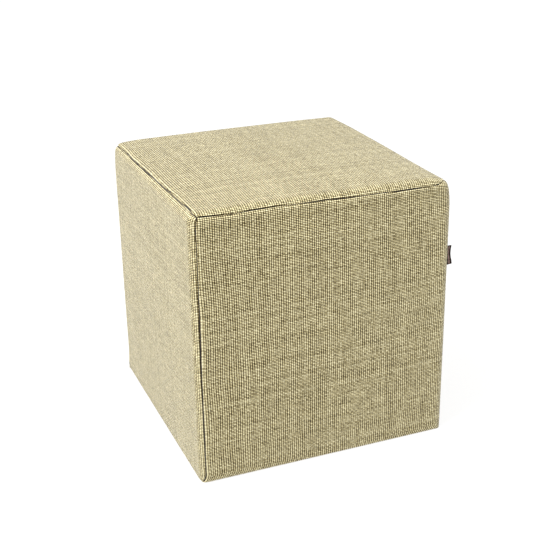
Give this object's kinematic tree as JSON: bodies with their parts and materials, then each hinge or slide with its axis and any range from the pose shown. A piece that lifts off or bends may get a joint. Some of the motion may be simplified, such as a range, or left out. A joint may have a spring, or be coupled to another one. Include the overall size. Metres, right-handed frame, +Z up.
{
  "type": "cube pouf stool",
  "caption": "Upholstered cube pouf stool in coarse khaki hopsack, with rounded crowned sides and a small plain label tab in one upright seam; a low seat or footrest.",
  "frame": {"origin": "middle of the base, on the plane that the stool stands on", "axes": "+Z up; the front, the wide face seen, faces -Y; the narrow face seen, the left side, faces -X; the label tab is in the upright seam between the front and the right side, +X"},
  "size_m": [0.3944, 0.4, 0.403],
  "materials": {
    "cover_cloth": "matt coarse hopsack weave",
    "label_ribbon": "woven ribbon"
  },
  "bodies": {
    "root": {"body": "cover_cloth", "top_panel": "cover_cloth", "front_panel": "cover_cloth", "back_panel": "cover_cloth", "left_panel": "cover_cloth", "right_panel": "cover_cloth", "label_tab": "label_ribbon"}
  },
  "joints": []
}
